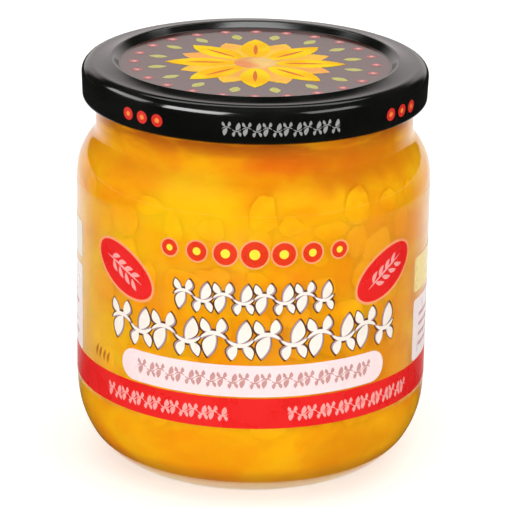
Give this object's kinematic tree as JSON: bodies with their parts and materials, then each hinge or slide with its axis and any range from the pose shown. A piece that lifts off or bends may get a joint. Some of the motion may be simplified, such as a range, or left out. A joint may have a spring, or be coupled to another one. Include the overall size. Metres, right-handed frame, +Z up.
{
  "type": "jam jar",
  "caption": "Straight-walled clear glass jar with rounded heel, filled with orange jam, closed by a black metal twist-off lid and wrapped in a clear printed film label.",
  "frame": {"origin": "centre of the jar's foot, on the surface it stands on", "axes": "+Z up along the jar's axis, -Y towards the middle of the label's front"},
  "size_m": [0.0872, 0.0872, 0.1008],
  "materials": {
    "glass": "clear moulded soda-lime glass, smooth",
    "jam": "wet translucent fruit jam with pieces and streaks",
    "lid_lacquer": "pressed tinplate in glossy black lacquer, printed",
    "label_film": "clear glossy film with red, white and yellow print"
  },
  "bodies": {
    "root": {"glass_jar": "glass", "jam": "jam", "lid": "lid_lacquer", "label": "label_film"}
  },
  "joints": []
}
